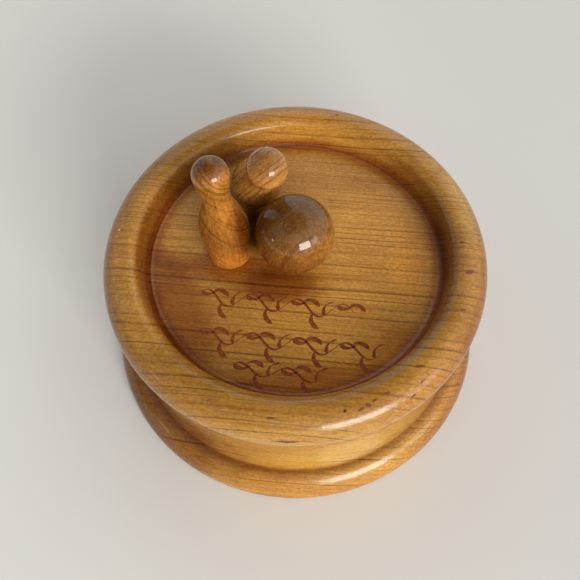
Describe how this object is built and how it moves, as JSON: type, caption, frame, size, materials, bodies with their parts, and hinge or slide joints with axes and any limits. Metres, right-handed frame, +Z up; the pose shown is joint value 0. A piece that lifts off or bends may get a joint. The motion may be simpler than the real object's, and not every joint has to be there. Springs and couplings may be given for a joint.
{
  "type": "bowling trophy",
  "caption": "Turned wooden pedestal dish with a fat rounded rim and a wider rounded foot, with an upright pin, a leaning pin and a ball standing on its recessed floor",
  "frame": {"origin": "centre of the foot's flat underside, on the axis that the pedestal is turned about", "axes": "+Z up along the turning axis, -Y to the viewer who reads the dish, +X to that viewer's right"},
  "size_m": [0.162, 0.162, 0.1144],
  "materials": {
    "pedestal_cherry": "golden cherry with brown growth lines under clear gloss lacquer",
    "upright_pin_wood": "orange-brown walnut under clear gloss lacquer",
    "leaning_pin_wood": "brown walnut with dark growth lines under clear gloss lacquer",
    "ball_wood": "brown walnut under clear gloss lacquer",
    "dowel_beech": "bare sanded beech"
  },
  "bodies": {
    "root": {"pedestal_dish": "pedestal_cherry", "upright_pin": "upright_pin_wood", "leaning_pin": "leaning_pin_wood", "ball": "ball_wood", "upright_pin_dowel": "dowel_beech", "leaning_pin_dowel": "dowel_beech", "ball_dowel": "dowel_beech"}
  },
  "joints": []
}
